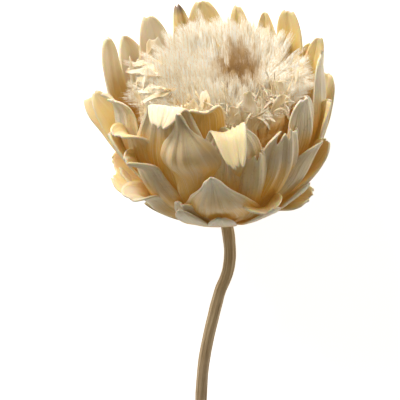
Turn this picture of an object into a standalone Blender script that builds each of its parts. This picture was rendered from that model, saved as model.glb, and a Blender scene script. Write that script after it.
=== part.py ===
"""A dried globe artichoke, cut with its stem and lying on its side.

Lengths are in metres and angles in degrees. The head is laid out in its own frame, with the foot of the
heart at the origin, +Z up through the head and -Y its front, and the whole is then laid down on the
ground. The bracts follow the plant's own order: each one stands a golden angle further round the heart
than the one before it, a little higher up, and one layer further in.
"""

import math
import random

import bmesh
import bpy
from mathutils import Quaternion, Vector
from mathutils.geometry import intersect_ray_tri

# Where one piece grows on another, the two keep this far apart.
CLEARANCE = 0.0003

# The bowl that the outermost bracts make: half an ellipse turned round the head's axis, from its foot up.
BOWL_RADIUS = 0.078
BOWL_HALF_HEIGHT = 0.090

# The bracts. Each lies one step further inside the bowl than the one before it, and the nearest that lie
# over one another are five apart in the spiral. Angles up the bowl are measured at the ellipse's centre,
# from straight down. The lists run from the outermost bract to the innermost, and OUTLINE from a bract's
# seat to its tip, all in even steps.
BRACT_COUNT = 48
BRACT_THICKNESS = 0.0010
BRACT_GAP = 0.0004
BRACTS_ROUND = 5
BRACT_STEP = (BRACT_THICKNESS + BRACT_GAP) / BRACTS_ROUND
GOLDEN_ANGLE_DEG = 137.508
FIRST_BRACT_DEG = 56.0
FIRST_SEAT_DEG = 7.5
LAST_SEAT_DEG = 40.0
TIP_HEIGHT = (0.024, 0.056, 0.088, 0.107, 0.115)
TIP_FLARE = (0.0, 0.001, 0.001, 0.0, 0.0)
BRACT_WIDTH = (0.022, 0.033, 0.036, 0.034, 0.028)
OUTLINE = (0.30, 0.62, 0.90, 1.0, 0.94, 0.74, 0.44, 0.12)
FLARE_FROM = 0.45
BRACT_ROWS = 8
BRACT_COLUMNS = 4

# Small differences from bract to bract: the share of its width, and the height of its tip.
VARIATION_SEED = 5
WIDTH_VARIATION = 0.05
HEIGHT_VARIATION = 0.001

# Bracts that grew or dried unlike their neighbours, by their place in the spiral:
# (degrees further round, tip higher, tip further out).
BRACTS_APART = {
    4: (-2, 0.003, 0.0),
    6: (0, -0.010, 0.006),
    7: (-4, 0.0, 0.0),
    9: (4, 0.001, 0.002),
    12: (0, 0.009, 0.0),
    14: (-1, -0.022, 0.010),
    15: (0, 0.006, 0.0),
    17: (-7, 0.012, 0.002),
    22: (4, -0.002, 0.0),
    25: (0, 0.025, 0.002),
    27: (1, -0.011, 0.005),
    28: (-5, -0.004, 0.0),
    29: (8, 0.014, 0.0),
    31: (4, -0.012, 0.002),
    32: (2, 0.003, 0.004),
    33: (-7, 0.0, 0.0),
    34: (7, 0.003, 0.0),
    35: (-2, -0.011, 0.004),
    36: (-9, -0.002, 0.0),
    37: (0, 0.004, 0.0),
    38: (2, 0.009, 0.0),
    39: (0, -0.005, 0.0),
    40: (5, 0.003, 0.006),
    41: (-13, -0.008, 0.0),
    46: (0, 0.004, 0.0),
}

# The heart, which the bracts and the choke grow on: it narrows by one bract's step at each bract's seat.
HEART_FACETS = 24
HEART_ROWS = 6

# The choke: the brush of florets and down that fills the head inside the innermost bract. Heights are
# above the heart's foot, the hollow is in the middle of its top, and each pair in CHOKE_TOP is a share of
# the way in from its rim and a share of the way up to its crown.
CHOKE_INSET = 0.006
CHOKE_RIM_HEIGHT = 0.092
CHOKE_CROWN_HEIGHT = 0.110
CHOKE_HOLLOW_DEPTH = 0.006
CHOKE_TOP = ((0.12, 0.60), (0.50, 1.0))
CHOKE_ROWS = 4
CHOKE_FACETS = 24

# The stem, as (sideways, down) steps from the heart's foot to the cut. It is thicker at its neck.
STEM_RADIUS = 0.0038
STEM_NECK_RADIUS = 0.0050
STEM_ROUTE = (
    (0.0, 0.0),
    (0.0, 0.012),
    (0.001, 0.032),
    (-0.001, 0.050),
    (-0.008, 0.068),
    (-0.0135, 0.087),
    (-0.0195, 0.110),
    (-0.024, 0.132),
    (-0.0275, 0.160),
    (-0.030, 0.190),
    (-0.031, 0.220),
)

# The head's axis rises this much from the stem before the whole rolls onto the points that carry it.
LIE_RISE_DEG = 13.0
LIE_ROLLS = 6


def eased(values, share):
    """The value at this share of the way through an even run of values, on a smooth curve through them."""
    last = len(values) - 1
    place = min(max(share, 0.0), 1.0) * last
    k = min(int(place), last - 1)
    f = place - k
    here, there = values[k], values[k + 1]
    slope_here = (there - values[k - 1]) / 2 if k > 0 else there - here
    slope_there = (values[k + 2] - here) / 2 if k + 2 <= last else there - here
    return (
        (2 * f**3 - 3 * f**2 + 1) * here
        + (f**3 - 2 * f**2 + f) * slope_here
        + (3 * f**2 - 2 * f**3) * there
        + (f**3 - f**2) * slope_there
    )


def bowl_point(angle, depth):
    """(radius, height) of the point this deep inside the bowl, at this angle up it in radians."""
    out = BOWL_HALF_HEIGHT * math.sin(angle)
    up = BOWL_RADIUS * math.cos(angle)
    slope = math.hypot(out, up)
    radius = BOWL_RADIUS * math.sin(angle) - depth * out / slope
    height = BOWL_HALF_HEIGHT * (1 - math.cos(angle)) + depth * up / slope
    return radius, height


def angle_at_height(height, depth):
    """How far up the bowl the layer this deep reaches the height, in radians, by halving the way there."""
    low, high = 0.0, math.pi
    for _ in range(30):
        middle = (low + high) / 2
        if bowl_point(middle, depth)[1] < height:
            low = middle
        else:
            high = middle
    return low


def seat_angle(share):
    return math.radians(FIRST_SEAT_DEG + (LAST_SEAT_DEG - FIRST_SEAT_DEG) * share)


def heart_point(share):
    """(radius, height) of the heart's side where the bract at this share of the spiral sits."""
    off_blade = BRACT_THICKNESS / 2 + CLEARANCE
    return bowl_point(seat_angle(share), BRACT_STEP * (BRACT_COUNT - 1) * share + off_blade)


class Bract:
    """One bract: a blade that lies in its own layer of the bowl and may flare out of it towards its tip."""

    def __init__(self, index, chance):
        share = index / (BRACT_COUNT - 1)
        turned, higher, further = BRACTS_APART.get(index, (0, 0, 0))
        self.turn = math.radians(FIRST_BRACT_DEG + GOLDEN_ANGLE_DEG * index + turned)
        self.depth = BRACT_STEP * index
        self.width = eased(BRACT_WIDTH, share) * (1 + chance.uniform(-WIDTH_VARIATION, WIDTH_VARIATION))
        self.flare = eased(TIP_FLARE, share) + further
        height = eased(TIP_HEIGHT, share) + higher + chance.uniform(-HEIGHT_VARIATION, HEIGHT_VARIATION)
        self.seat = seat_angle(share)
        self.end = angle_at_height(height, self.depth)

    def point(self, along, across):
        """A point of the blade, along from 0 at its seat to 1 at its tip and across from -1 to 1."""
        radius, height = bowl_point(self.seat + (self.end - self.seat) * along, self.depth)
        radius += self.flare * max(0.0, (along - FLARE_FROM) / (1 - FLARE_FROM)) ** 2
        turn = self.turn + across * self.width / 2 * eased(OUTLINE, along) / radius
        return Vector((radius * math.cos(turn), radius * math.sin(turn), height))


def all_bracts():
    chance = random.Random(VARIATION_SEED)
    return [Bract(index, chance) for index in range(BRACT_COUNT)]


def make_material(name, colour, roughness):
    material = bpy.data.materials.new(name)
    material.use_nodes = True
    shader = material.node_tree.nodes["Principled BSDF"]
    shader.inputs["Base Color"].default_value = (*colour, 1)
    shader.inputs["Roughness"].default_value = roughness
    shader.inputs["Metallic"].default_value = 0
    return material


def finished_mesh(name, bm):
    """The bmesh as a smooth mesh with its faces pointing out."""
    bmesh.ops.recalc_face_normals(bm, faces=bm.faces)
    mesh = bpy.data.meshes.new(name)
    bm.to_mesh(mesh)
    bm.free()
    mesh.shade_smooth()
    return mesh


def add_node(name, data, material, flower):
    """Makes the mesh or curve a named object of the flower."""
    data.materials.append(material)
    node = bpy.data.objects.new(name, data)
    node.parent = flower
    bpy.context.scene.collection.objects.link(node)
    return node


def turned(profile, facets):
    """A closed bmesh turned from (radius, height) points that start and end on the axis."""
    bm = bmesh.new()
    points = [bm.verts.new((radius, 0, height)) for radius, height in profile]
    edges = [bm.edges.new(pair) for pair in zip(points, points[1:])]
    bmesh.ops.spin(
        bm, geom=points + edges, cent=(0, 0, 0), axis=(0, 0, 1), angle=math.tau, steps=facets, use_merge=True
    )
    bmesh.ops.remove_doubles(bm, verts=bm.verts, dist=1e-6)
    return bm


def make_stem(flower, material):
    top = heart_point(0)[1] - CLEARANCE
    curve = bpy.data.curves.new("stem", "CURVE")
    curve.dimensions = "3D"
    curve.bevel_depth = STEM_RADIUS
    curve.bevel_resolution = 2
    curve.use_fill_caps = True
    spline = curve.splines.new("POLY")
    spline.points.add(len(STEM_ROUTE) - 1)
    for point, (sideways, down) in zip(spline.points, STEM_ROUTE):
        point.co = (sideways, 0, top - down, 1)
        point.radius = 1
    spline.points[0].radius = STEM_NECK_RADIUS / STEM_RADIUS
    add_node("stem", curve, material, flower)


def make_heart(flower, material):
    side = [heart_point(k / HEART_ROWS) for k in range(HEART_ROWS + 1)]
    profile = [(0, side[0][1]), *side, (0, side[-1][1])]
    add_node("heart", finished_mesh("heart", turned(profile, HEART_FACETS)), material, flower)


def make_choke(flower, material):
    foot = heart_point(1)[1] + CLEARANCE
    depth = BRACT_STEP * (BRACT_COUNT - 1) + BRACT_THICKNESS / 2 + CHOKE_INSET
    first = angle_at_height(foot, depth)
    last = angle_at_height(CHOKE_RIM_HEIGHT, depth)
    side = [bowl_point(first + (last - first) * k / CHOKE_ROWS, depth) for k in range(CHOKE_ROWS + 1)]
    rim = side[-1][0]
    crown = CHOKE_CROWN_HEIGHT - CHOKE_RIM_HEIGHT
    top = [(rim * (1 - share_in), CHOKE_RIM_HEIGHT + crown * share_up) for share_in, share_up in CHOKE_TOP]
    profile = [(0, foot), *side, *top, (0, CHOKE_CROWN_HEIGHT - CHOKE_HOLLOW_DEPTH)]
    add_node("choke", finished_mesh("choke", turned(profile, CHOKE_FACETS)), material, flower)


def make_bract(index, bract, flower, material):
    bm = bmesh.new()
    bmesh.ops.create_grid(bm, x_segments=BRACT_COLUMNS, y_segments=BRACT_ROWS, size=1)
    for vert in bm.verts:
        vert.co = bract.point((vert.co.y + 1) / 2, vert.co.x)
    name = f"bract_{index + 1:02d}"
    node = add_node(name, finished_mesh(name, bm), material, flower)
    blade = node.modifiers.new("blade", "SOLIDIFY")
    blade.thickness = BRACT_THICKNESS
    blade.offset = 0


def world_points(nodes):
    """The nodes' points in the world, with their modifiers applied."""
    bpy.context.view_layer.update()
    graph = bpy.context.evaluated_depsgraph_get()
    points = []
    for node in nodes:
        shown = node.evaluated_get(graph)
        points += [node.matrix_world @ vert.co for vert in shown.to_mesh().vertices]
        shown.to_mesh_clear()
    return points


def carrying_normal(points, balance):
    """The normal, turned downwards, of the face of the points' hull that is straight below the balance."""
    bm = bmesh.new()
    for point in points:
        bm.verts.new(point)
    bmesh.ops.convex_hull(bm, input=bm.verts)
    down = Vector((0, 0, -1))
    normal = down
    for face in bm.faces:
        corners = [vert.co.copy() for vert in face.verts]
        if intersect_ray_tri(*corners, down, balance, True):
            normal = (corners[1] - corners[0]).cross(corners[2] - corners[0]).normalized()
    bm.free()
    return normal if normal.z < 0 else -normal


def lay_down(flower, head, stem):
    """Rolls the flower onto the points that carry it, then puts it on the ground round the origin."""
    flower.rotation_mode = "QUATERNION"
    flower.rotation_quaternion = Quaternion((1, 0, 0), math.radians(LIE_RISE_DEG - 90))
    for _ in range(LIE_ROLLS):
        head_points = world_points(head)
        balance = sum(head_points, Vector()) / len(head_points)
        normal = carrying_normal(head_points + world_points([stem]), balance)
        roll = normal.rotation_difference(Vector((0, 0, -1)))
        flower.rotation_quaternion = roll @ flower.rotation_quaternion
    points = world_points([*head, stem])
    low = Vector([min(point[axis] for point in points) for axis in range(3)])
    high = Vector([max(point[axis] for point in points) for axis in range(3)])
    flower.location = (-(low.x + high.x) / 2, -(low.y + high.y) / 2, -low.z)


def main():
    for obj in list(bpy.data.objects):
        bpy.data.objects.remove(obj)
    flower = bpy.data.objects.new("flower", None)
    bpy.context.scene.collection.objects.link(flower)
    make_heart(flower, make_material("heart", (0.55, 0.33, 0.10), 0.7))
    make_choke(flower, make_material("choke", (0.74, 0.62, 0.47), 0.9))
    leafy = make_material("bract", (0.60, 0.47, 0.27), 0.55)
    for index, bract in enumerate(all_bracts()):
        make_bract(index, bract, flower, leafy)
    head = [obj for obj in bpy.data.objects if obj.type == "MESH"]
    make_stem(flower, make_material("stem", (0.34, 0.26, 0.16), 0.75))
    lay_down(flower, head, bpy.data.objects["stem"])


main()
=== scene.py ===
import math
import random

import bmesh
import bpy
from mathutils import Matrix, Quaternion, Vector, noise


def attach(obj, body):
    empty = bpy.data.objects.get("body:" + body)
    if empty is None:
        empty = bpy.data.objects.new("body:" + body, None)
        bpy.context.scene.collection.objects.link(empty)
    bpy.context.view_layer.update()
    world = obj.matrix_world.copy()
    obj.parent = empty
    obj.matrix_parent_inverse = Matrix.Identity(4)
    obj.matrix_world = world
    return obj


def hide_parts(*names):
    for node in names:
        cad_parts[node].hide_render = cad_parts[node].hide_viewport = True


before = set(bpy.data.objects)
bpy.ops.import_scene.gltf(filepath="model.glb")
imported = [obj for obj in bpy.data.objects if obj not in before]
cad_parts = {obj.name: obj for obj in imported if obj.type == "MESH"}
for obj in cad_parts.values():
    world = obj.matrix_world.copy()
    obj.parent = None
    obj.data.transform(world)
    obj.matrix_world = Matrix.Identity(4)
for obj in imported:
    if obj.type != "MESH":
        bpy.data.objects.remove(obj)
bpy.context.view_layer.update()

# ------------------------------------------------------------------------------------------------------
# STEM. The flower's own stalk, ribbed and dried hard. It is cut square across at its far end, where the pith
# has shrunk back, and runs up into the foot of the heart. Its green skin has bleached to straw.
# ------------------------------------------------------------------------------------------------------

# The bowl that the bracts lie in: half an ellipse turned about the head's axis, one layer for each bract.
BRACT_THICKNESS = 0.0010
CLEARANCE = 0.0003
BOWL_RADIUS = 0.078
BOWL_HALF_HEIGHT = 0.090
BRACT_COUNT = 48
BRACT_STEP = 0.00028
FIRST_SEAT_DEG = 7.5
LAST_SEAT_DEG = 40.0


def bowl_point(angle, depth):
    """(radius, height) of the point this deep inside the bowl of bracts, at this angle up it."""
    out = BOWL_HALF_HEIGHT * math.sin(angle)
    up = BOWL_RADIUS * math.cos(angle)
    slope = math.hypot(out, up)
    radius = BOWL_RADIUS * math.sin(angle) - depth * out / slope
    return radius, BOWL_HALF_HEIGHT * (1 - math.cos(angle)) + depth * up / slope


def seat_angle(share):
    """How far up the bowl the bracts' seats are, this share of the way from the first to the last."""
    return math.radians(FIRST_SEAT_DEG + (LAST_SEAT_DEG - FIRST_SEAT_DEG) * share)


def heart_point(share):
    """(radius, height) of the heart's side, which keeps just inside the seats of the bracts."""
    depth = BRACT_STEP * (BRACT_COUNT - 1) * share + BRACT_THICKNESS / 2 + CLEARANCE
    return bowl_point(seat_angle(share), depth)


def merged_points(name):
    """The separate corners of a CAD node."""
    bm = bmesh.new()
    bm.from_mesh(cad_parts[name].data)
    bmesh.ops.remove_doubles(bm, verts=bm.verts, dist=1e-5)
    points = [vert.co.copy() for vert in bm.verts]
    bm.free()
    return points


def middle(points):
    return sum(points, Vector()) / len(points)


def head_matrix():
    """Where the flower's head lies: its foot at the origin, +Z up through it and -X towards the cut."""
    heart, stem = merged_points("heart"), merged_points("stem")
    up = (middle(merged_points("choke")) - middle(heart)).normalized()
    centre = middle(heart)
    lowest = min((point - centre).dot(up) for point in heart)
    foot = centre + up * (lowest - heart_point(0)[1])
    end = min(stem, key=lambda point: point.dot(up))
    right = end - foot
    right = -(right - up * right.dot(up)).normalized()
    ahead = up.cross(right)
    turned = Matrix((right, ahead, up)).transposed().to_4x4()
    return Matrix.Translation(foot) @ turned


HEAD = head_matrix()


def eased(values, share):
    """The value at this share of the way through an even run of values, on a smooth curve through them."""
    last = len(values) - 1
    place = min(max(share, 0.0), 1.0) * last
    k = min(int(place), last - 1)
    f = place - k
    here, there = values[k], values[k + 1]
    slope_here = (there - values[k - 1]) / 2 if k > 0 else there - here
    slope_there = (values[k + 2] - here) / 2 if k + 2 <= last else there - here
    return (
        (2 * f**3 - 3 * f**2 + 1) * here
        + (f**3 - 2 * f**2 + f) * slope_here
        + (3 * f**2 - 2 * f**3) * there
        + (f**3 - f**2) * slope_there
    )


def sheet(columns, rows, place, bm=None):
    """A sheet of faces whose corner at (across, along) lies at place(across, along), added to the bmesh."""
    bm = bm or bmesh.new()
    uv = bm.loops.layers.uv.get("UVMap") or bm.loops.layers.uv.new("UVMap")
    corners = bmesh.ops.create_grid(bm, x_segments=columns, y_segments=rows, size=1)["verts"]
    for vert in corners:
        for loop in vert.link_loops:
            loop[uv].uv = ((vert.co.x + 1) / 2, (vert.co.y + 1) / 2)
    for vert in corners:
        vert.co = place(vert.co.x, (vert.co.y + 1) / 2)
    return bm


def finished(name, bm, materials, nodes=()):
    """The bmesh as a smooth piece of the flower, laid where the head lies."""
    mesh = bpy.data.meshes.new(name)
    bm.to_mesh(mesh)
    bm.free()
    mesh.transform(HEAD)
    mesh.shade_smooth()
    for material in materials:
        mesh.materials.append(material)
    piece = bpy.data.objects.new(name, mesh)
    bpy.context.scene.collection.objects.link(piece)
    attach(piece, "root")
    if nodes:
        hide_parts(*nodes)
    return piece


def add(tree, kind, inputs=(), **settings):
    """A node of this kind, with its settings, and each input given a value or joined to a socket."""
    made = tree.nodes.new(kind)
    for name, value in settings.items():
        setattr(made, name, value)
    for name, value in dict(inputs).items():
        if isinstance(value, bpy.types.NodeSocket):
            tree.links.new(value, made.inputs[name])
        else:
            made.inputs[name].default_value = value
    return made


def mixed(tree, share, first, second):
    """The socket of a colour between two others, at this share of the way."""
    first, second = [(*c, 1) if isinstance(c, tuple) else c for c in (first, second)]
    return add(tree, "ShaderNodeMix", {0: share, 6: first, 7: second}, data_type="RGBA").outputs[2]


def ranged(tree, value, low, high, to_low=0.0, to_high=1.0):
    """The socket of a value carried smoothly from one range to another."""
    sockets = {"Value": value, "From Min": low, "From Max": high, "To Min": to_low, "To Max": to_high}
    return add(tree, "ShaderNodeMapRange", sockets, interpolation_type="SMOOTHSTEP").outputs[0]


def worked(tree, operation, first, second):
    """The socket of two values added, multiplied or otherwise worked together."""
    return add(tree, "ShaderNodeMath", {0: first, 1: second}, operation=operation).outputs[0]


def new_group(name, takes, gives):
    """A shader node group with these float or vector inputs and value outputs."""
    group = bpy.data.node_groups.new(name, "ShaderNodeTree")
    for label, kind in takes.items():
        group.interface.new_socket(name=label, in_out="INPUT", socket_type=kind)
    for label in gives:
        group.interface.new_socket(name=label, in_out="OUTPUT", socket_type="NodeSocketFloat")
    return group, group.nodes.new("NodeGroupInput"), group.nodes.new("NodeGroupOutput")


def fibre_lines():
    """Fine lines that run along a surface, from its own across and along."""
    takes = {"Vector": "NodeSocketVector", "Across": "NodeSocketFloat", "Along": "NodeSocketFloat"}
    group, given, out = new_group("Fibre lines", takes, ["Lines"])
    counts = {"X": given.outputs["Across"], "Y": given.outputs["Along"], "Z": 1.0}
    spread = {0: given.outputs["Vector"], 1: add(group, "ShaderNodeCombineXYZ", counts).outputs[0]}
    place = add(group, "ShaderNodeVectorMath", spread, operation="MULTIPLY")
    lines = add(group, "ShaderNodeTexNoise", {"Vector": place.outputs[0], "Scale": 1.0, "Detail": 4.0})
    group.links.new(lines.outputs[0], out.inputs["Lines"])
    return group


def mottling():
    """Soft blotches in the solid, between 0 and 1."""
    takes = {"Scale": "NodeSocketFloat"}
    group, given, out = new_group("Mottling", takes, ["Blotches"])
    place = add(group, "ShaderNodeTexCoord")
    sockets = {"Vector": place.outputs["Object"], "Scale": given.outputs["Scale"]}
    blotches = add(group, "ShaderNodeTexNoise", {**sockets, "Detail": 3.0, "Roughness": 0.55})
    group.links.new(ranged(group, blotches.outputs[0], 0.33, 0.67), out.inputs["Blotches"])
    return group


FIBRE_LINES = fibre_lines()
MOTTLING = mottling()


def lines_of(tree, vector, across, along):
    """The socket of fibre lines, this many to a unit across and along."""
    made = add(tree, "ShaderNodeGroup", node_tree=FIBRE_LINES)
    tree.links.new(vector, made.inputs["Vector"])
    made.inputs["Across"].default_value = across
    made.inputs["Along"].default_value = along
    return made.outputs["Lines"]


def blotches_of(tree, scale):
    """The socket of soft blotches, this many to a metre."""
    made = add(tree, "ShaderNodeGroup", node_tree=MOTTLING)
    made.inputs["Scale"].default_value = scale
    return made.outputs["Blotches"]


def new_material(name):
    material = bpy.data.materials.new(name)
    material.use_nodes = True
    tree = material.node_tree
    return material, tree, tree.nodes["Principled BSDF"]


def relief(tree, shader, height, depth):
    """Joins a height, in metres at full, to the shader's normal."""
    bump = add(tree, "ShaderNodeBump", {"Height": height, "Distance": depth, "Strength": 1.0})
    tree.links.new(bump.outputs[0], shader.inputs["Normal"])


STEM_RADIUS = 0.0039
STEM_NECK_RADIUS = 0.0052
STEM_SIDES = 54
STEM_RINGS = 120
STEM_RIBS = 9
NECK_SHARE = 0.10
RIB_DEPTH = 0.00022
FINE_RIB_DEPTH = 0.00014
STEM_LUMP = 0.00030
SKIN_WIDTH = 0.0007
PITH_SLOPE = 0.0004
PITH_DEPTH = 0.0005
# The stem's middle line from the heart down, as (sideways, down) in metres, with a kink below the head.
STEM_ROUTE = (
    (0.0, 0.0), (0.0, 0.012), (0.001, 0.032), (-0.001, 0.050), (-0.008, 0.068), (-0.0135, 0.087),
    (-0.0195, 0.110), (-0.024, 0.132), (-0.0275, 0.160), (-0.030, 0.190), (-0.031, 0.220),
)
STEM_TOP = heart_point(0)[1] - CLEARANCE


def stem_middle(along):
    sideways, down = [eased(values, along) for values in zip(*STEM_ROUTE)]
    return Vector((sideways, 0, STEM_TOP - down))


def stem_point(across, along):
    """A point of the stem's bark, across running once round it."""
    here = stem_middle(along)
    down = (stem_middle(min(along + 0.01, 1)) - stem_middle(max(along - 0.01, 0))).normalized()
    front = Vector((0, 1, 0))
    side = front.cross(down)
    turn = across * math.pi
    neck = max(0.0, 1 - along / NECK_SHARE) ** 2
    radius = STEM_RADIUS + (STEM_NECK_RADIUS - STEM_RADIUS) * neck
    ribs = RIB_DEPTH * math.cos(STEM_RIBS * turn + 3 * noise.noise(Vector((along * 5, 0.3, 0))))
    ribs += FINE_RIB_DEPTH * math.cos(2 * STEM_RIBS * turn + 1.3)
    ring = Vector((math.cos(turn), math.sin(turn)))
    lumps = STEM_LUMP * noise.noise(Vector((ring.x, ring.y, along * 16)))
    return here + (side * ring.x + front * ring.y) * (radius + ribs + lumps)


def make_stem():
    bm = sheet(STEM_SIDES, STEM_RINGS, stem_point)
    bmesh.ops.remove_doubles(bm, verts=bm.verts, dist=1e-6)
    rims = [edge for edge in bm.edges if edge.is_boundary]
    caps = bmesh.ops.holes_fill(bm, edges=rims, sides=0)["faces"]
    bmesh.ops.inset_region(bm, faces=caps, thickness=SKIN_WIDTH, depth=0.0)
    bmesh.ops.inset_region(bm, faces=caps, thickness=PITH_SLOPE, depth=-PITH_DEPTH)
    bmesh.ops.recalc_face_normals(bm, faces=bm.faces)
    finished("stalk", bm, [stem_bark()], ["stem"])


def stem_bark():
    material, tree, shader = new_material("bleached stalk")
    place = add(tree, "ShaderNodeTexCoord").outputs["UV"]
    along = add(tree, "ShaderNodeSeparateXYZ", {0: place}).outputs["Y"]
    lines = lines_of(tree, place, 46.0, 7.0)
    blotches = blotches_of(tree, 90.0)
    straw = mixed(tree, ranged(tree, along, 0.05, 0.55), (0.64, 0.46, 0.24), (0.68, 0.50, 0.29))
    straw = mixed(tree, ranged(tree, along, 0.45, 1.0), straw, (0.48, 0.33, 0.20))
    straw = mixed(tree, worked(tree, "MULTIPLY", blotches, 0.35), straw, (0.76, 0.60, 0.38))
    straw = mixed(tree, ranged(tree, lines, 0.52, 0.72, 0.0, 0.7), straw, (0.40, 0.26, 0.14))
    tree.links.new(straw, shader.inputs["Base Color"])
    tree.links.new(ranged(tree, lines, 0.3, 0.7, 0.48, 0.68), shader.inputs["Roughness"])
    shader.inputs["Subsurface Weight"].default_value = 0.10
    shader.inputs["Subsurface Radius"].default_value = (0.004, 0.002, 0.001)
    relief(tree, shader, lines, 0.0006)
    return material


make_stem()

# ------------------------------------------------------------------------------------------------------
# HEART. The solid foot that every bract grows on: firm, ochre flesh that shows only in the gaps between
# the lowest bracts. It is turned to the same line that the bracts' seats follow.
# ------------------------------------------------------------------------------------------------------
HEART_ROWS = 24
HEART_SIDES = 72


def heart_flesh():
    material, tree, shader = new_material("heart flesh")
    blotches = blotches_of(tree, 160.0)
    tree.links.new(mixed(tree, blotches, (0.50, 0.26, 0.05), (0.62, 0.38, 0.12)), shader.inputs["Base Color"])
    tree.links.new(ranged(tree, blotches, 0.0, 1.0, 0.55, 0.75), shader.inputs["Roughness"])
    relief(tree, shader, blotches, 0.0004)
    return material


def make_heart():
    side = [heart_point(k / HEART_ROWS) for k in range(HEART_ROWS + 1)]
    bm = bmesh.new()
    profile = [(0, side[0][1]), *side, (0, side[-1][1])]
    points = [bm.verts.new((radius, 0, height)) for radius, height in profile]
    edges = [bm.edges.new(pair) for pair in zip(points, points[1:])]
    bmesh.ops.spin(
        bm, geom=points + edges, cent=(0, 0, 0), axis=(0, 0, 1), angle=math.tau,
        steps=HEART_SIDES, use_merge=True,
    )
    bmesh.ops.remove_doubles(bm, verts=bm.verts, dist=1e-6)
    bmesh.ops.recalc_face_normals(bm, faces=bm.faces)
    finished("heart_flesh", bm, [heart_flesh()], ["heart"])


make_heart()

# ------------------------------------------------------------------------------------------------------
# BRACTS. Forty-eight thick, leathery scales in one spiral, each a golden angle further round than the one
# before. Outside they are matt and creamy with fine ribs; inside they are waxy and golden. A ring of short
# scales hides their seats at the foot.
# ------------------------------------------------------------------------------------------------------
GOLDEN_ANGLE_DEG = 137.508
FIRST_BRACT_DEG = 56.0
TIP_HEIGHT = (0.024, 0.056, 0.088, 0.107, 0.115)
TIP_FLARE = (0.0, 0.001, 0.001, 0.0, 0.0)
BRACT_WIDTH = (0.022, 0.033, 0.036, 0.034, 0.028)
OUTLINE = (0.30, 0.62, 0.90, 1.0, 0.94, 0.74, 0.44, 0.12)
BLADE_THICKNESS = 0.0017
BLADE_COLUMNS, BLADE_ROWS = 20, 34
BLADE_TONES = ("pale", "grey_and_shade", "gold", "brown")
# Strength of a faint painted glow on the bracts, which stands in for light passing through the blades.
BRACT_PAINTED_GLOW = 0.055
SCORCHED_BROWN = (0.34, 0.24, 0.16)
BRACT_SEED, BLADE_SEED = 5, 1000
HALVINGS, LENGTH_STEPS, BEND_STEPS = 30, 20, 12

# Where along a blade, from 0 at its seat to 1 at its tip, each of its ways sets in.
FLARE_FROM = 0.45
LEAN_FROM = 0.45
HOOK_FROM = 0.80
WAIST_TO, WAIST_RUN = 0.54, 0.14
POINT_FROM, POINT_RUN = 0.74, 0.18
SHARP_TIP_FROM, BLUNT_TIP_SOONER, TIP_ROUNDS_TO = 0.97, 0.25, 1.002

# Shares of a blade's half width: the least at the tip, a blunt tip's, an edge's waves, where its rim starts.
TIP_SHARE = 0.12
BLUNT_FULLNESS, BLUNT_SHARE = 0.92, 0.85
EDGE_WAVE = 0.06
RIM_FROM = 0.62

# Single bracts that stand apart from the run: (degrees turned, metres higher, metres further out at the tip).
BRACTS_APART = {
    4: (-2, 0.003, 0.0), 6: (0, -0.010, 0.006), 7: (-4, 0.0, 0.0), 9: (4, 0.001, 0.002), 12: (0, 0.009, 0.0),
    14: (-1, -0.022, 0.010), 15: (0, 0.006, 0.0), 17: (-7, 0.012, 0.002), 22: (4, -0.002, 0.0),
    25: (0, 0.025, 0.002), 27: (1, -0.011, 0.005), 28: (-5, -0.004, 0.0), 29: (8, 0.014, 0.0),
    31: (4, -0.012, 0.002), 32: (2, 0.003, 0.004), 33: (-7, 0.0, 0.0), 34: (7, 0.003, 0.0),
    35: (-2, -0.011, 0.004), 36: (-9, -0.002, 0.0), 37: (0, 0.004, 0.0), 38: (2, 0.009, 0.0),
    39: (0, -0.005, 0.0), 40: (5, 0.003, 0.006), 41: (-13, -0.008, 0.0), 46: (0, 0.004, 0.0),
}
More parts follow.
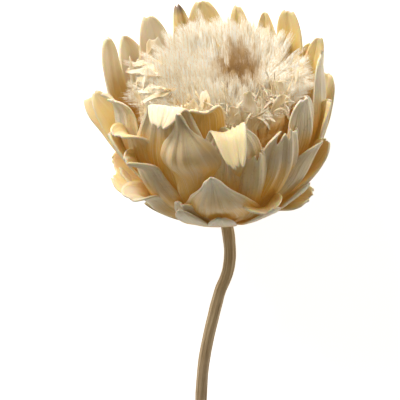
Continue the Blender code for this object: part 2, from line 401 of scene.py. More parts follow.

# How single bracts dried, where they differ from the run of them.
# In millimetres: belly (bulge outwards, at belly_at of the length and over belly_run of it), gape (tip
# outwards), lift (tip upwards), hook (the last of the tip outwards), lean (tip sideways), rim (edges rolled
# outwards), keel (a ridge, at keel_at across), lumps, and fold (depth of the lengthwise folds, of which
# there are folds, set on by phase).
# In degrees: twist (the tip turned about its length) and bend (the tip turned out and down, from bend_from
# and over bend_run of the length).
# As shares: cup (hollow across), wide (width), waist (lower half drawn in), point (tip drawn in), blunt (tip
# rounded), torn (tip ragged), longer (the part past the bend stretched), and the tones of the outer face:
# pale, grey (weathered grey, and painted shade on bracts set darker to look shaded), gold (how far up its
# golden foot reaches; the gold there is partly painted warm shade) and brown (a scorched tip).
HABITS = {
    0: dict(blunt=0.9),
    2: dict(gape=-1, lift=5, bend=22, bend_from=0.45, bend_run=0.3, wide=0.95, blunt=0.8, torn=0.7,
        gold=0.7),
    4: dict(gape=1, lift=5, belly=1, wide=0.9, blunt=0.9, gold=0.55),
    6: dict(bend=10, bend_from=0.5, bend_run=0.3, blunt=0.8),
    7: dict(gape=5, lift=11, lean=-11, rim=1.5, twist=0, bend=50, bend_from=0.64, bend_run=0.3, cup=0.6,
        wide=1.0, blunt=0.9, pale=0.2, gold=0.55),
    9: dict(gape=3, lift=11, lean=4, belly=4, rim=1.5, twist=0, bend=60, bend_from=0.64, bend_run=0.3,
        cup=0.6, wide=0.9, blunt=0.9, pale=0.9, grey_and_shade=0.1, gold=0.6),
    10: dict(gape=0, twist=-32, blunt=0.3, torn=0.2),
    12: dict(gape=9, lift=11, hook=7, lean=-3, belly=5, belly_at=0.74, belly_run=0.16, fold=0.6, folds=6,
        twist=8, cup=0.15, wide=1.5, point=0.4, blunt=0.25, pale=1.0, grey_and_shade=0.3, gold=0.7),
    14: dict(gape=6, lift=9, twist=36, bend=30, bend_from=0.5, bend_run=0.3, cup=0.25, wide=1.35, blunt=0.9,
        torn=0.5),
    15: dict(gape=3, hook=2, rim=1.5, cup=0.6, blunt=0.8),
    17: dict(gape=2, hook=2, lean=3, twist=18, bend=30, bend_from=0.76, bend_run=0.2, cup=0.7, wide=0.95,
        blunt=0.6, grey_and_shade=0.6, gold=0.62),
    18: dict(gape=-4, hook=2, twist=-38, wide=0.95, blunt=0.3),
    20: dict(gape=3, lift=4, rim=0.5, keel=2.0, cup=1.1, wide=0.8, blunt=0.9, torn=0.9, gold=0.6),
    22: dict(gape=1, belly=-4, twist=30, blunt=0.6),
    23: dict(gape=-2, hook=2, lean=-1, belly=-2, twist=-40, wide=0.95, blunt=0.4),
    24: dict(blunt=0.5),
    25: dict(gape=7, lift=-2, hook=3, belly=9, belly_at=0.74, belly_run=0.11, fold=1.1, folds=5, phase=1.5,
        twist=0, cup=0.4, wide=1.5, waist=0.55, point=0.55, blunt=0.0, pale=0.6, grey_and_shade=0.9, gold=0.68),
    27: dict(gape=3, hook=1, belly=-10, belly_at=0.7, belly_run=0.26, twist=40, cup=0.2, wide=1.2,
        blunt=0.5),
    28: dict(gape=2, belly=3, belly_at=0.65, fold=1.3, folds=4, cup=0.3, wide=1.1, torn=0.9, pale=0.6,
        grey_and_shade=0.7),
    29: dict(lift=3, cup=0.3, wide=1.0, blunt=0.8),
    30: dict(lean=3, fold=0.5, folds=6, bend=55, bend_from=0.76, bend_run=0.2, wide=1.0, blunt=0.7,
        pale=0.5, gold=0.75),
    31: dict(gape=-4, hook=2, lean=-1, belly=-3, twist=-42, wide=1.0, blunt=0.35),
    32: dict(hook=-1, lean=3, rim=1.2, cup=0.35, wide=1.2, blunt=0.35, pale=1.0),
    33: dict(lift=6, lean=12, fold=1.2, folds=8, twist=-14, bend=150, bend_from=0.84, bend_run=0.09,
        longer=2.7, wide=1.45, blunt=0.05, torn=0.2, pale=0.75),
    34: dict(wide=1.0, blunt=0.0),
    35: dict(gape=3, hook=1, belly=-9, belly_at=0.7, belly_run=0.26, twist=45, cup=0.2, blunt=0.4,
        grey_and_shade=0.9),
    36: dict(lift=-3, lean=-5, keel=2.5, keel_at=0.1, fold=0.8, folds=3, cup=0.35, wide=1.05, blunt=0.6,
        pale=1.0, grey_and_shade=0.5),
    37: dict(lift=3, lean=3, wide=0.8, blunt=0.1, brown=1.0),
    38: dict(lift=3, lean=3, fold=0.9, folds=6, twist=0, bend=140, bend_from=0.84, bend_run=0.11,
        longer=1.8, cup=-0.2, wide=1.7, blunt=0.1, pale=0.9, grey_and_shade=0.5, gold=0.7),
    39: dict(gape=1, hook=2, belly=-2, twist=-38, wide=0.9, blunt=0.15, brown=0.3),
    40: dict(gape=-1, lift=2, wide=0.95, blunt=0.5, pale=0.9),
    41: dict(lift=-8, hook=-2, lean=-8, belly=3, belly_at=0.75, keel=4.0, keel_at=-0.15, fold=0.5, folds=5,
        cup=0.15, wide=1.1, blunt=0.9, pale=1.0, grey_and_shade=0.6, gold=0.6),
    42: dict(wide=0.65, blunt=0.9),
    43: dict(fold=0.8, bend=60, bend_from=0.75, blunt=0.9, torn=1.0, pale=1.0),
    44: dict(torn=0.4, pale=1.0),
    45: dict(lift=2, wide=1.15, blunt=0.5, pale=1.0),
    46: dict(lean=2, bend=85, bend_from=0.78, wide=1.1, blunt=0.7, pale=0.0, grey_and_shade=0, gold=0.92),
    47: dict(lift=3, wide=1.0, blunt=0.9),
}


def smooth(share):
    """Rises gently from 0 to 1 as the share does, and stays level outside."""
    share = min(1.0, max(0.0, share))
    return share * share * (3 - 2 * share)


def past(value, start):
    """How far the value has gone from the start to 1, and 0 before it."""
    return max(0.0, (value - start) / (1 - start))


# The way that is up, in the lying head's own frame.
HEAD_UP = HEAD.to_3x3().inverted() @ Vector((0, 0, 1))


class Blade:
    """One bract's blade, in the layer of the bowl that its place in the spiral gives it."""

    def __init__(self, index, chance):
        share = index / (BRACT_COUNT - 1)
        turned, higher, further = BRACTS_APART.get(index, (0, 0, 0))
        self.index = index
        self.turn = math.radians(FIRST_BRACT_DEG + GOLDEN_ANGLE_DEG * index + turned)
        self.depth = BRACT_STEP * index
        self.width = eased(BRACT_WIDTH, share) * (1 + chance.uniform(-0.05, 0.05))
        self.flare = eased(TIP_FLARE, share) + further
        height = eased(TIP_HEIGHT, share) + higher + chance.uniform(-0.001, 0.001)
        self.seat = seat_angle(share)
        low, high = 0.0, math.pi
        for _ in range(HALVINGS):
            half = (low + high) / 2
            low, high = (half, high) if bowl_point(half, self.depth)[1] < height else (low, half)
        self.end = low  # how far up the bowl its tip is, as an angle
        rows = [
            bowl_point(self.seat + (self.end - self.seat) * k / LENGTH_STEPS, self.depth)
            for k in range(LENGTH_STEPS + 1)
        ]
        self.length = sum(math.dist(a, b) for a, b in zip(rows, rows[1:]))
        own = random.Random(BLADE_SEED + index)
        self.habit = dict(
            belly=own.uniform(0.3, 1.2), belly_at=0.6, belly_run=0.28, gape=own.uniform(0, 3), lift=0,
            hook=own.uniform(-1.0, 3.5), lean=own.uniform(-3.0, 3.0), rim=own.uniform(0.6, 2.2),
            cup=own.uniform(0.15, 0.35), fold=own.uniform(0.2, 0.6), blunt=own.uniform(0.4, 0.9),
            torn=own.uniform(0, 0.12), wide=1.08, waist=0, point=0, longer=1, bend=0, bend_from=0.7,
            bend_run=0.25, twist=own.uniform(-12, 12), keel=own.uniform(0, 1),
            keel_at=own.uniform(-0.3, 0.3), pale=own.uniform(0.2, 0.8), grey_and_shade=own.uniform(0, 0.6),
            gold=own.uniform(0.52, 0.70), brown=0, lumps=own.uniform(0.8, 1.8),
            folds=own.uniform(2.5, 4.5), phase=own.uniform(0, 6),
        )
        self.habit.update(HABITS.get(index, {}))

    def outline(self, along, across):
        """The blade's half width here, with its rounded or pointed tip."""
        habit = self.habit
        rounded_from = SHARP_TIP_FROM - BLUNT_TIP_SOONER * habit["blunt"]
        gone = max(0.0, along - rounded_from) / (TIP_ROUNDS_TO - rounded_from)
        round_off = TIP_SHARE + (1 - TIP_SHARE) * math.sqrt(max(0.0, 1 - gone**2))
        fuller = eased(OUTLINE, along)
        fuller += (BLUNT_FULLNESS - fuller) * BLUNT_SHARE * habit["blunt"] * smooth((along - 0.5) / 0.4)
        fuller *= 1 - habit["waist"] * (1 - smooth((along - WAIST_TO) / WAIST_RUN))
        fuller *= 1 - habit["point"] * smooth((along - POINT_FROM) / POINT_RUN)
        side = noise.noise(Vector((along * 7, math.copysign(2.0, across), self.index * 3.7)))
        return self.width / 2 * habit["wide"] * fuller * round_off * (1 + EDGE_WAVE * side)

    def point(self, across, along):
        """A point of the blade's middle surface, along from 0 at its seat to 1 at its tip."""
        habit = self.habit
        tear = noise.noise(Vector((across * 4.0, self.index * 5.1, 0.5)))
        tear += 0.5 * noise.noise(Vector((across * 11.0, self.index * 2.3, 4.5)))
        along = along * (1 - 0.10 * habit["torn"] * (0.6 + tear) * min(1.0, along * 1.3) ** 3)
        stay = min(along, habit["bend_from"]) if habit["bend"] else along
        angle = self.seat + (self.end - self.seat) * stay
        radius, height = bowl_point(angle, self.depth)
        out, up = BOWL_HALF_HEIGHT * math.sin(angle), BOWL_RADIUS * math.cos(angle)
        slope = math.hypot(out, up)
        radius += self.flare * past(stay, FLARE_FROM) ** 2
        half = self.outline(along, across)
        turn = self.turn + across * half / radius
        outwards = Vector((math.cos(turn), math.sin(turn), 0))
        sideways = Vector((-math.sin(turn), math.cos(turn), 0))
        middle_out = Vector((math.cos(self.turn), math.sin(self.turn), 0))
        level = Vector((0, 0, 1))
        normal = outwards * (out / slope) - level * (up / slope)
        upwards = outwards * (up / slope) + level * (out / slope)
        point = outwards * radius + level * height
        if along > stay:
            step = (along - stay) * self.length * habit["longer"] / BEND_STEPS
            for k in range(BEND_STEPS):
                share = (along - stay) * (k + 0.5) / BEND_STEPS / habit["bend_run"]
                swing = math.radians(habit["bend"]) * smooth(share)
                point += (upwards * math.cos(swing) + normal * math.sin(swing)) * step
            normal = normal * math.cos(swing) - upwards * math.sin(swing)
        late, tip, edge = past(along, LEAN_FROM), past(along, HOOK_FROM), past(abs(across), RIM_FROM)
        swell = math.exp(-(((along - habit["belly_at"]) / habit["belly_run"]) ** 2))
        rise = habit["belly"] * swell * (1 - across * across)
        rise += habit["keel"] * math.exp(-(((across - habit["keel_at"]) / 0.3) ** 2)) * min(1.0, late * 1.6)
        rise += habit["rim"] * edge**2 * late
        rise += habit["fold"] * math.sin(across * habit["folds"] * math.pi + habit["phase"]) * swell
        lump = noise.noise(Vector((across * 1.2, along * 3.0, self.index * 7.3)))
        rise += habit["lumps"] * lump * 2 * along
        shift = habit["lean"] * late**2
        twist = math.radians(habit["twist"]) * late
        aside = across * half
        point += normal * (aside * math.sin(twist)) - sideways * (aside * (1 - math.cos(twist)))
        point += normal * (rise / 1000 - habit["cup"] * across * across * half * late**0.5)
        point += middle_out * ((habit["gape"] * late**2 + habit["hook"] * tip**2) / 1000)
        point += level * (habit["lift"] * late**2 / 1000)
        return point + sideways * (shift / 1000)


def keep_above_floor(bm):
    """Lays flat on the floor what would reach into it."""
    for vert in bm.verts:
        vert.co += HEAD_UP * max(0.0, BLADE_THICKNESS / 2 - (HEAD @ vert.co).z)


def walled(piece, thickness, lining=0):
    """Gives a sheet a wall, lined with the material this many slots further on, and soft edges."""
    wall = piece.modifiers.new("wall", "SOLIDIFY")
    wall.thickness = thickness
    wall.offset = 0
    wall.material_offset = lining
    soft = piece.modifiers.new("soft", "SUBSURF")
    soft.levels = soft.render_levels = 1


def toned(bm, tones):
    """Writes the bract's tones on every corner of its blade."""
    for key in BLADE_TONES:
        layer = bm.verts.layers.float.new(key)
        for vert in bm.verts:
            vert[layer] = tones[key]


def make_blade(blade, materials):
    bm = sheet(BLADE_COLUMNS, BLADE_ROWS, blade.point)
    bm.normal_update()
    outwards = Vector((math.cos(blade.turn), math.sin(blade.turn), 0))
    if sum((face.normal for face in bm.faces), Vector()).dot(outwards) < 0:
        bmesh.ops.reverse_faces(bm, faces=bm.faces)
    keep_above_floor(bm)
    toned(bm, blade.habit)
    number = blade.index + 1
    piece = finished(f"bract_blade_{number:02d}", bm, materials, [f"bract_{number:02d}"])
    walled(piece, BLADE_THICKNESS, lining=1)


def tone(tree, name):
    """One of the tones that each bract carries over its whole blade."""
    return add(tree, "ShaderNodeAttribute", attribute_name=name).outputs["Fac"]


def blade_sockets(tree):
    """A blade's own place, how far along it that is, and how far from its middle (0.5 at its edge)."""
    place = add(tree, "ShaderNodeTexCoord").outputs["UV"]
    parts = add(tree, "ShaderNodeSeparateXYZ", {0: place})
    aside = worked(tree, "SUBTRACT", parts.outputs["X"], 0.5)
    from_middle = add(tree, "ShaderNodeMath", {0: aside}, operation="ABSOLUTE").outputs[0]
    return place, parts.outputs["Y"], from_middle


def scorched(tree, colour, along):
    """The colour turned brown at the tip, on the bracts whose tip is."""
    end = worked(tree, "MULTIPLY", tone(tree, "brown"), ranged(tree, along, 0.93, 1.0))
    return mixed(tree, end, colour, SCORCHED_BROWN)


def bract_outside():
    """Creamy and ribbed, golden at the foot, with a pale rim, grey weathering and a few brown specks; the
    golden foot and the grey are partly painted shade, and a faint painted glow lies on the foot.
    """
    material, tree, shader = new_material("bract outside")
    place, along, from_middle = blade_sockets(tree)
    rim = worked(tree, "MAXIMUM", ranged(tree, from_middle, 0.42, 0.50), ranged(tree, along, 0.93, 1.0))
    rim = worked(tree, "MULTIPLY", rim, ranged(tree, along, 0.5, 0.8, 0.2, 0.7))
    lines = lines_of(tree, place, 40.0, 2.0)
    fine = lines_of(tree, place, 110.0, 3.0)
    blotches = blotches_of(tree, 55.0)
    specks = blotches_of(tree, 420.0)
    cream = mixed(tree, tone(tree, "pale"), (0.86, 0.66, 0.32), (0.92, 0.80, 0.55))
    # Grey blotches: partly weathering, partly painted shade, strongest on the bracts set darker to look
    # shaded.
    cream = mixed(tree, worked(tree, "MULTIPLY", tone(tree, "grey_and_shade"), blotches), cream, (0.68, 0.54, 0.38))
    # The golden foot: the bract's own colour, deepened and warmed as painted shade where the feet lie in the
    # crevices between bracts.
    drift = worked(tree, "ADD", along, worked(tree, "MULTIPLY", blotches, 0.10))
    height = worked(tree, "SUBTRACT", drift, tone(tree, "gold"))
    skin = mixed(tree, ranged(tree, height, -0.10, 0.26), (0.74, 0.42, 0.07), cream)
    skin = mixed(tree, rim, skin, (0.93, 0.85, 0.66))
    skin = mixed(tree, ranged(tree, lines, 0.50, 0.70, 0.0, 0.30), skin, (0.92, 0.86, 0.74))
    skin = mixed(tree, ranged(tree, lines, 0.48, 0.30, 0.0, 0.34), skin, (0.56, 0.42, 0.26))
    skin = mixed(tree, ranged(tree, specks, 0.93, 1.0, 0.0, 0.20), skin, (0.45, 0.30, 0.14))
    tree.links.new(scorched(tree, skin, along), shader.inputs["Base Color"])
    # A faint painted glow, golden at the foot, which stands in for light passing through the blades.
    painted_glow = mixed(tree, ranged(tree, height, -0.10, 0.26), (0.90, 0.56, 0.12), (0.0, 0.0, 0.0))
    tree.links.new(painted_glow, shader.inputs["Emission Color"])
    shader.inputs["Emission Strength"].default_value = BRACT_PAINTED_GLOW
    tree.links.new(ranged(tree, fine, 0.3, 0.7, 0.42, 0.62), shader.inputs["Roughness"])
    shader.inputs["Subsurface Weight"].default_value = 0.50
    shader.inputs["Subsurface Radius"].default_value = (0.006, 0.0030, 0.0008)
    ribs = worked(tree, "ADD", lines, worked(tree, "MULTIPLY", fine, 0.35))
    relief(tree, shader, ribs, 0.0009)
    return material


def bract_inside():
    """Waxy and golden, deep orange at the foot and paler towards the rim and the tip; the deep orange is
    partly painted shade, and a faint painted glow lies over it.
    """
    material, tree, shader = new_material("bract inside")
    place, along, from_middle = blade_sockets(tree)
    lines = lines_of(tree, place, 26.0, 1.6)
    blotches = blotches_of(tree, 75.0)
    rim = worked(tree, "MAXIMUM", ranged(tree, from_middle, 0.36, 0.50), ranged(tree, along, 0.86, 1.0))
    gold = mixed(tree, blotches, (0.80, 0.53, 0.11), (0.86, 0.65, 0.22))
    # Deep orange at the foot: partly the bract's own colour, partly painted shade deep down between the
    # bracts.
    wax = mixed(tree, ranged(tree, along, 0.30, 0.75), (0.70, 0.32, 0.02), gold)
    wax = mixed(tree, ranged(tree, along, 0.60, 0.95, 0.0, 0.55), wax, (0.88, 0.73, 0.42))
    faded = ranged(tree, tone(tree, "pale"), 0.6, 1.0)
    faded = worked(tree, "MULTIPLY", faded, ranged(tree, along, 0.50, 0.85, 0.0, 0.9))
    wax = mixed(tree, faded, wax, (0.92, 0.83, 0.68))
    wax = mixed(tree, worked(tree, "MULTIPLY", rim, 0.6), wax, (0.86, 0.74, 0.48))
    wax = mixed(tree, ranged(tree, lines, 0.52, 0.75, 0.0, 0.30), wax, (0.92, 0.76, 0.46))
    tree.links.new(scorched(tree, wax, along), shader.inputs["Base Color"])
    # A faint painted glow, golden at the foot and dim at the tip, which stands in for light passing through
    # the waxy blades.
    painted_glow = mixed(tree, ranged(tree, along, 0.55, 0.95), (0.90, 0.58, 0.12), (0.30, 0.20, 0.06))
    tree.links.new(painted_glow, shader.inputs["Emission Color"])
    shader.inputs["Emission Strength"].default_value = BRACT_PAINTED_GLOW
    tree.links.new(ranged(tree, blotches, 0.0, 1.0, 0.36, 0.50), shader.inputs["Roughness"])
    shader.inputs["Subsurface Weight"].default_value = 0.60
    shader.inputs["Subsurface Radius"].default_value = (0.009, 0.0045, 0.0010)
    relief(tree, shader, lines, 0.0006)
    return material


# The ring of short scales below the lowest bracts.
BASAL_SEED = 23
BASAL_COUNT = 14
BASAL_COLUMNS, BASAL_ROWS = 8, 10
BASAL_THICKNESS = 0.0018
BASAL_TURN_DEG = 52
BASAL_START = 0.8
BASAL_DEPTH = -0.0009
BASAL_REACH = (0.72, 0.90)
BASAL_WIDTH = (0.022, 0.032)
BASAL_CURL = 0.0012
BASAL_ROUND_FROM = 0.55
BASAL_ROUND_RUN = 0.46
BASAL_TONES = {"pale": 0.9, "grey_and_shade": 0.2, "gold": 0.62, "brown": 0.0}


def basal_place(turn_deg, reach, width):
    """A short scale under the lowest bracts: it follows the foot of the bowl, and its tip curls out."""
    turn = math.radians(turn_deg)
    start = seat_angle(0) * BASAL_START

    def place(across, along):
        radius, height = bowl_point(start + reach * along, BASAL_DEPTH)
        gone = max(0.0, (along - BASAL_ROUND_FROM) / BASAL_ROUND_RUN)
        half = width / 2 * (0.55 + 0.45 * along) * math.sqrt(max(0.02, 1 - gone**2))
        lump = 0.0008 * noise.noise(Vector((across * 2, along * 2, turn_deg)))
        radius += BASAL_CURL * past(along, 0.6) ** 2 + lump + 0.0006 * (1 - across * across) * along
        here = turn + across * half / radius
        droop = 0.001 * across * across * along
        return Vector((math.cos(here) * radius, math.sin(here) * radius, height - droop))

    return place


def make_basal_scales(materials):
    chance = random.Random(BASAL_SEED)
    bm = bmesh.new()
    for k in range(BASAL_COUNT):
        turn = FIRST_BRACT_DEG + GOLDEN_ANGLE_DEG * k + BASAL_TURN_DEG
        place = basal_place(turn, chance.uniform(*BASAL_REACH), chance.uniform(*BASAL_WIDTH))
        sheet(BASAL_COLUMNS, BASAL_ROWS, place, bm)
    keep_above_floor(bm)
    toned(bm, BASAL_TONES)
    walled(finished("basal_scales", bm, materials), BASAL_THICKNESS, lining=1)


def make_bracts():
    chance = random.Random(BRACT_SEED)
    materials = [bract_outside(), bract_inside()]
    for index in range(BRACT_COUNT):
        make_blade(Blade(index, chance), materials)
    make_basal_scales(materials)


make_bracts()

# ------------------------------------------------------------------------------------------------------
# CHOKE. The brush of silky bristles that fills the head: a felted bed, and thousands of fine bristles that
# grow on it in tufts and lean outwards from a worn brown hollow, a little to one side of the middle.
# ------------------------------------------------------------------------------------------------------

# The bed and the hollow in it, in the head's own frame.
HOLLOW = Vector((0.013, -0.002, 0))
HOLLOW_RADIUS = 0.015
HOLLOW_SPREAD = (0.012, 0.020)
HOLLOW_DEPTH = 0.010
BED_CENTRE = Vector((0.004, 0.0, 0.0))
BED_RADIUS = 0.043
BED_TOP = 0.094
BED_FALL = 0.016
BED_ROUGHNESS = 0.0012
BED_COLUMNS, BED_ROWS = 64, 24
BED_FOOT = 0.034
BED_FOOT_SHARE = 0.70

# The brush that grows on it: its slices, their tufts and the bristles of a tuft.
BRUSH_PIECES = 8
TUFTS_PER_PIECE = 140
BRISTLES_PER_TUFT = 24
BRISTLE_RADIUS = 0.00021
BRISTLE_SEED = 40
BRISTLE_KNOTS = 4
BALD_BELOW = -0.17
TUFT_SPREAD = 0.0011
STRAY = 0.0009
TUFT_LENGTH = 0.015
LONGER_AT_RIM = 0.005
LONGER_BEHIND = 0.014
BEHIND = Vector((-0.30, 0.95, 0))


def bed_height(x, y):
    """The felted bed under the bristles, lowest in the hollow and falling away to its rim."""
    out = math.hypot(x - BED_CENTRE.x, y - BED_CENTRE.y) / BED_RADIUS
    dip = math.exp(-(((x - HOLLOW.x) / HOLLOW_SPREAD[0]) ** 2 + ((y - HOLLOW.y) / HOLLOW_SPREAD[1]) ** 2))
    return BED_TOP - BED_FALL * out**3 - HOLLOW_DEPTH * dip


def bed_point(across, along):
    turn = across * math.pi
    out = BED_RADIUS * along
    x, y = BED_CENTRE.x + out * math.cos(turn), BED_CENTRE.y + out * math.sin(turn)
    rough = BED_ROUGHNESS * noise.noise(Vector((x * 180, y * 180, 3)))
    return Vector((x, y, bed_height(x, y) + rough))


def down_material():
    """White silk with tan streaks along it, which darkens to brown in the hollow, with a faint painted glow
    in its own colour.
    """
    material, tree, shader = new_material("silky down")
    place = {
        "Vector": add(tree, "ShaderNodeTexCoord").outputs["Object"],
        "Location": HEAD @ (HOLLOW + Vector((0, 0, BED_TOP))),
        "Rotation": HEAD.to_euler(),
        "Scale": (1.0, 1.7, 2.2),
    }
    local = add(tree, "ShaderNodeMapping", place, vector_type="TEXTURE")
    away = add(tree, "ShaderNodeVectorMath", {0: local.outputs[0]}, operation="LENGTH").outputs["Value"]
    blotches = blotches_of(tree, 110.0)
    wisps = ranged(tree, lines_of(tree, local.outputs[0], 900.0, 600.0), 0.33, 0.67)
    away = worked(tree, "ADD", away, worked(tree, "MULTIPLY", blotches, 0.006))
    silk = mixed(tree, blotches, (0.94, 0.90, 0.78), (0.98, 0.96, 0.90))
    silk = mixed(tree, ranged(tree, wisps, 0.42, 0.72, 0.0, 0.65), silk, (0.74, 0.59, 0.36))
    silk = mixed(tree, ranged(tree, away, 0.022, 0.010), silk, (0.54, 0.36, 0.16))
    tree.links.new(silk, shader.inputs["Base Color"])
    tree.links.new(ranged(tree, wisps, 0.0, 1.0, 0.45, 0.70), shader.inputs["Roughness"])
    # A faint painted glow in the silk's own colour, which stands in for light through the bristles and
    # brightens their shade.
    tree.links.new(silk, shader.inputs["Emission Color"])
    shader.inputs["Emission Strength"].default_value = 0.12
    return material


def felt_material():
    material, tree, shader = new_material("golden felt")
    blotches = blotches_of(tree, 260.0)
    tree.links.new(mixed(tree, blotches, (0.74, 0.46, 0.14), (0.86, 0.68, 0.38)), shader.inputs["Base Color"])
    shader.inputs["Roughness"].default_value = 0.8
    relief(tree, shader, blotches, 0.0010)
    return material


def make_bed(material):
    """The bed's top, with a skirt drawn in below it and closed underneath."""
    bm = sheet(BED_COLUMNS, BED_ROWS, bed_point)
    bmesh.ops.remove_doubles(bm, verts=bm.verts, dist=1e-5)
    rim = [edge for edge in bm.edges if edge.is_boundary]
    skirt = bmesh.ops.extrude_edge_only(bm, edges=rim)["geom"]
    for vert in [item for item in skirt if isinstance(item, bmesh.types.BMVert)]:
        vert.co = Vector((vert.co.x * BED_FOOT_SHARE, vert.co.y * BED_FOOT_SHARE, BED_FOOT))
    bmesh.ops.contextual_create(bm, geom=[item for item in skirt if isinstance(item, bmesh.types.BMEdge)])
    bmesh.ops.recalc_face_normals(bm, faces=bm.faces)
    finished("choke_bed", bm, [material], ["choke"])


def tuft_path(chance, root):
    """The middle line of one tuft: up from the bed, then leaning away from the hollow."""
    away = root - HOLLOW
    away.z = 0
    reach = away.length
    away = away.normalized() if reach > 1e-6 else Vector((1, 0, 0))
    away.rotate(Quaternion((0, 0, 1), 1.3 * noise.noise(root * 75)))
    share = min(1.0, (root - BED_CENTRE).xy.length / BED_RADIUS)
    lean = 0.10 + 0.95 * share**2.2 + chance.uniform(-0.12, 0.12)
    if reach < HOLLOW_RADIUS:
        lean = chance.uniform(-0.6, 0.3)
    lean += 0.5 * noise.noise(root * 60 + Vector((7, 0, 0)))
    behind = max(0.0, away.dot(BEHIND))
    length = TUFT_LENGTH + LONGER_AT_RIM * share + LONGER_BEHIND * behind * share
    length *= chance.uniform(0.70, 1.25)
    if reach < HOLLOW_RADIUS:
        length *= 0.35 + 0.5 * reach / HOLLOW_RADIUS
    points = [root.copy()]
    for step in range(1, BRISTLE_KNOTS):
        tilt = lean * (0.5 + 0.9 * step / (BRISTLE_KNOTS - 1))
        way = away * math.sin(tilt) + Vector((0, 0, math.cos(tilt)))
        points.append(points[-1] + way * (length / (BRISTLE_KNOTS - 1)))
    return points


def make_bristles(number, material):
    """One slice of the brush: fine tapered bristles, gathered into tufts that leave small bald spots."""
    chance = random.Random(BRISTLE_SEED + number)
    curve = bpy.data.curves.new(f"choke_bristles_{number}", "CURVE")
    curve.dimensions = "3D"
    curve.bevel_depth = BRISTLE_RADIUS
    curve.bevel_resolution = 0
    curve.use_fill_caps = True
    curve.materials.append(material)
    for _ in range(TUFTS_PER_PIECE):
        turn = math.tau * (number + chance.random()) / BRUSH_PIECES
        out = BED_RADIUS * 0.96 * math.sqrt(chance.random())
        x, y = BED_CENTRE.x + out * math.cos(turn), BED_CENTRE.y + out * math.sin(turn)
        if noise.noise(Vector((x * 95, y * 95, 11))) < BALD_BELOW:
            continue
        path = tuft_path(chance, Vector((x, y, bed_height(x, y) - 0.001)))
        gather = chance.uniform(0.15, 1.1)
        for _ in range(BRISTLES_PER_TUFT):
            spread = Vector([chance.gauss(0, TUFT_SPREAD) for _ in range(3)])
            stray = Vector([chance.gauss(0, STRAY) for _ in range(3)])
            spline = curve.splines.new("POLY")
            spline.points.add(len(path) - 1)
            for k, (knot, spot) in enumerate(zip(path, spline.points)):
                share = k / (len(path) - 1)
                place = knot + spread * (1 + (gather - 1) * share) + stray * share**2
                spot.co = (*place, 1)
                spot.radius = 1 - 0.75 * share**1.5
    curve.transform(HEAD)
    piece = bpy.data.objects.new(curve.name, curve)
    bpy.context.scene.collection.objects.link(piece)
    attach(piece, "root")


def make_choke():
    material = down_material()
    make_bed(felt_material())
    for number in range(BRUSH_PIECES):
        make_bristles(number, material)


make_choke()

# ------------------------------------------------------------------------------------------------------
# CHAFF. Papery scales and torn strips between the choke and the bracts: thin, dry and nearly white, golden
# where they are thick. They grow round the rim of the bed, and curl as they dry.
# ------------------------------------------------------------------------------------------------------
CHAFF_THICKNESS = 0.00035
STRIP_STEPS = 16
SHRED_COUNT = 300
LEFT_STRIP_COUNT = 26
INNER_SCALE_COUNT = 34
SCALE_SEED, SHRED_SEED, STRIP_SEED = 61, 62, 63


def strip_place(chance, root, heading_deg, length, width, pitch_deg, curl_deg, twist_deg, ragged):
    """Where one papery strip lies: it sets out from its root, curls as it goes, and ends torn."""
    heading = math.radians(heading_deg - 90)
    level = Vector((math.cos(heading), math.sin(heading), 0))
    beside = Vector((-math.sin(heading), math.cos(heading), 0))
    up = Vector((0, 0, 1))
    seed = chance.uniform(0, 100)
    hollow = chance.uniform(-0.35, 0.35)
    spine, ways, tilt = [Vector(root)], [], math.radians(pitch_deg)
    for _ in range(STRIP_STEPS):
        way = level * math.cos(tilt) + up * math.sin(tilt)
        ways.append(way)
        spine.append(spine[-1] + way * (length / STRIP_STEPS))
        tilt += math.radians(curl_deg) / STRIP_STEPS

    def place(across, along):
        k = min(int(along * STRIP_STEPS), STRIP_STEPS - 1)
        way = ways[k]
        here = spine[k].lerp(spine[k + 1], along * STRIP_STEPS - k)
        turn = math.radians(twist_deg) * along
        face = way.cross(beside)
        side = beside * math.cos(turn) + face * math.sin(turn)
        face = face * math.cos(turn) - beside * math.sin(turn)
        rough = noise.noise(Vector((along * 9, math.copysign(1.5, across), seed)))
        half = width / 2 * (0.45 + 0.9 * along - 0.95 * along**4) * (1 + 1.6 * ragged * rough)
        torn = ragged * 0.25 * length * noise.noise(Vector((across * 3.5, seed, 0))) * along**4
        wave = 0.10 * width * noise.noise(Vector((across * 1.5, along * 4, seed)))
        rise = hollow * half * (1 - across * across) + wave
        return here + side * (across * half) + face * rise + way * torn

    return place


def chaff_paper():
    """Dry and nearly white, golden at the root, with faint lines along it."""
    material, tree, shader = new_material("chaff")
    place = add(tree, "ShaderNodeTexCoord").outputs["UV"]
    along = add(tree, "ShaderNodeSeparateXYZ", {0: place}).outputs["Y"]
    lines = lines_of(tree, place, 14.0, 1.5)
    blotches = blotches_of(tree, 130.0)
    paper = mixed(tree, blotches, (0.82, 0.68, 0.44), (0.93, 0.86, 0.72))
    paper = mixed(tree, ranged(tree, along, 0.35, 0.0, 0.0, 0.8), paper, (0.78, 0.50, 0.16))
    paper = mixed(tree, ranged(tree, lines, 0.48, 0.30, 0.0, 0.4), paper, (0.72, 0.54, 0.30))
    tree.links.new(paper, shader.inputs["Base Color"])
    tree.links.new(ranged(tree, lines, 0.3, 0.7, 0.70, 0.85), shader.inputs["Roughness"])
    shader.inputs["Specular IOR Level"].default_value = 0.15
    shader.inputs["Subsurface Weight"].default_value = 0.30
    shader.inputs["Subsurface Radius"].default_value = (0.002, 0.001, 0.0005)
    relief(tree, shader, lines, 0.0003)
    return material


def make_chaff(name, strips, material, columns=5, rows=12):
    bm = bmesh.new()
    for place in strips:
        sheet(columns, rows, place, bm)
    walled(finished(name, bm, [material]), CHAFF_THICKNESS)


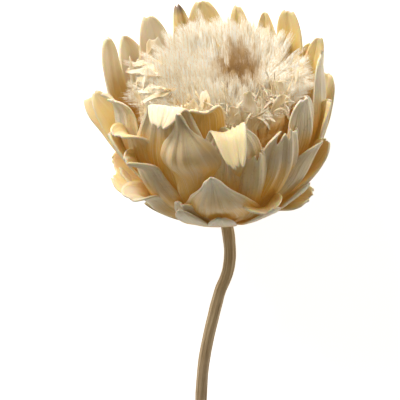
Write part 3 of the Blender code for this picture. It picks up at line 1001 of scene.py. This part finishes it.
def around(radius, azimuth_deg, height):
    """A point at this distance from the head's axis, 0 degrees being its front."""
    turn = math.radians(azimuth_deg - 90)
    return Vector((radius * math.cos(turn), radius * math.sin(turn), height))


def front_shreds(chance):
    """Short curly shreds along the front of the choke."""
    for _ in range(SHRED_COUNT):
        azimuth = chance.uniform(-40, 56)
        root = around(chance.uniform(0.033, 0.055), azimuth, chance.uniform(0.086, 0.095))
        yield strip_place(
            chance, root, heading_deg=azimuth + chance.uniform(-80, 80),
            length=chance.uniform(0.009, 0.018), width=chance.uniform(0.0007, 0.0024),
            pitch_deg=chance.uniform(15, 80), curl_deg=chance.uniform(-220, 110),
            twist_deg=chance.uniform(-90, 90), ragged=0.7,
        )


def left_strips(chance):
    """Longer ragged strips that lie over one another across the left edge."""
    for _ in range(LEFT_STRIP_COUNT):
        azimuth = chance.uniform(-125, -58)
        root = around(chance.uniform(0.024, 0.036), azimuth, 0.096 + chance.uniform(-0.003, 0.004))
        yield strip_place(
            chance, root, heading_deg=azimuth + chance.uniform(-35, 35),
            length=chance.uniform(0.012, 0.030), width=chance.uniform(0.004, 0.010),
            pitch_deg=chance.uniform(-5, 30), curl_deg=chance.uniform(-70, 10),
            twist_deg=chance.uniform(-60, 60), ragged=0.95,
        )


def inner_scales(chance):
    """Thin upright scales in a ring just outside the bristles."""
    for k in range(INNER_SCALE_COUNT):
        azimuth = k * 360 / INNER_SCALE_COUNT + chance.uniform(-4, 4)
        root = around(0.048 + chance.uniform(-0.002, 0.002), azimuth, 0.072)
        yield strip_place(
            chance, root, heading_deg=azimuth + chance.uniform(-10, 10),
            length=chance.uniform(0.026, 0.036), width=chance.uniform(0.009, 0.014),
            pitch_deg=chance.uniform(68, 88), curl_deg=chance.uniform(-25, 35),
            twist_deg=chance.uniform(-25, 25), ragged=0.4,
        )


def make_all_chaff():
    material = chaff_paper()
    make_chaff("chaff_inner_scales", inner_scales(random.Random(SCALE_SEED)), material)
    shreds = front_shreds(random.Random(SHRED_SEED))
    make_chaff("chaff_front_shreds", shreds, material, columns=3, rows=8)
    make_chaff("chaff_left_strips", left_strips(random.Random(STRIP_SEED)), material)


make_all_chaff()

# ------------------------------------------------------------------------------------------------------
# FLOOR, LIGHTS AND CAMERA. A pale floor under the flower, a broad soft light from over the crown and to
# its left, a weaker one from the other side, and a camera in front of the head, looking down into it.
# ------------------------------------------------------------------------------------------------------
FLOOR_SIZE = 6.0
FLOOR_GLOW = 0.78
LAMP_COLOUR = (1.0, 0.97, 0.93)
SKY_COLOUR = (1.0, 0.92, 0.74)
SKY_STRENGTH = 0.25
CAMERA_PITCH_DEG = 32.0
CAMERA_ROLL_DEG = 5.0
CAMERA_DISTANCE = 0.900
SENSOR_WIDTH = 36.0
VIEW_WIDTH = 0.252
VIEW_CENTRE = Vector((-0.0160, -0.0215, 0.0206))


def make_floor():
    bm = bmesh.new()
    bmesh.ops.create_grid(bm, x_segments=1, y_segments=1, size=FLOOR_SIZE / 2)
    mesh = bpy.data.meshes.new("floor")
    bm.to_mesh(mesh)
    bm.free()
    material, tree, shader = new_material("pale floor")
    speckle = blotches_of(tree, 3.0)
    tree.links.new(mixed(tree, speckle, (0.93, 0.93, 0.93), (0.95, 0.95, 0.945)), shader.inputs["Base Color"])
    shader.inputs["Roughness"].default_value = 0.9
    shader.inputs["Emission Color"].default_value = (1, 1, 1, 1)
    shader.inputs["Emission Strength"].default_value = FLOOR_GLOW
    mesh.materials.append(material)
    floor = bpy.data.objects.new("floor", mesh)
    bpy.context.scene.collection.objects.link(floor)


def make_light(name, place, target, size, power):
    """A square area light that faces the target, both given in the head's own frame."""
    light = bpy.data.lights.new(name, "AREA")
    light.size = size
    light.energy = power
    light.color = LAMP_COLOUR
    lamp = bpy.data.objects.new(name, light)
    spot, aim = HEAD @ Vector(place), HEAD @ Vector(target)
    lamp.location = spot
    lamp.rotation_euler = (spot - aim).to_track_quat("Z", "Y").to_euler()
    bpy.context.scene.collection.objects.link(lamp)


def make_world():
    world = bpy.data.worlds.new("studio")
    world.use_nodes = True
    sky = world.node_tree.nodes["Background"]
    sky.inputs["Color"].default_value = (*SKY_COLOUR, 1)
    sky.inputs["Strength"].default_value = SKY_STRENGTH
    bpy.context.scene.world = world
    bpy.context.scene.view_settings.view_transform = "Standard"


def make_camera():
    """In front of the head and above it, upright by the head's own axis but for a slight roll."""
    pitch, roll = math.radians(CAMERA_PITCH_DEG), math.radians(CAMERA_ROLL_DEG)
    back = Vector((0, -math.cos(pitch), math.sin(pitch)))
    right = Vector((1, 0, 0))
    up = back.cross(right)
    right, up = right * math.cos(roll) - up * math.sin(roll), right * math.sin(roll) + up * math.cos(roll)
    pose = Matrix((right, up, back)).transposed().to_4x4()
    pose.translation = VIEW_CENTRE + back * CAMERA_DISTANCE
    camera = bpy.data.objects.new("camera", bpy.data.cameras.new("camera"))
    camera.data.sensor_width = SENSOR_WIDTH
    camera.data.lens = SENSOR_WIDTH * CAMERA_DISTANCE / VIEW_WIDTH
    camera.matrix_world = HEAD @ pose
    bpy.context.scene.collection.objects.link(camera)
    bpy.context.scene.camera = camera


make_floor()
make_light("key", place=(-0.40, -0.16, 0.90), target=(0, 0, 0.06), size=0.45, power=8.6)
make_light("fill", place=(0.60, -0.10, 0.75), target=(0, 0, 0.08), size=0.60, power=1.6)
make_world()
make_camera()
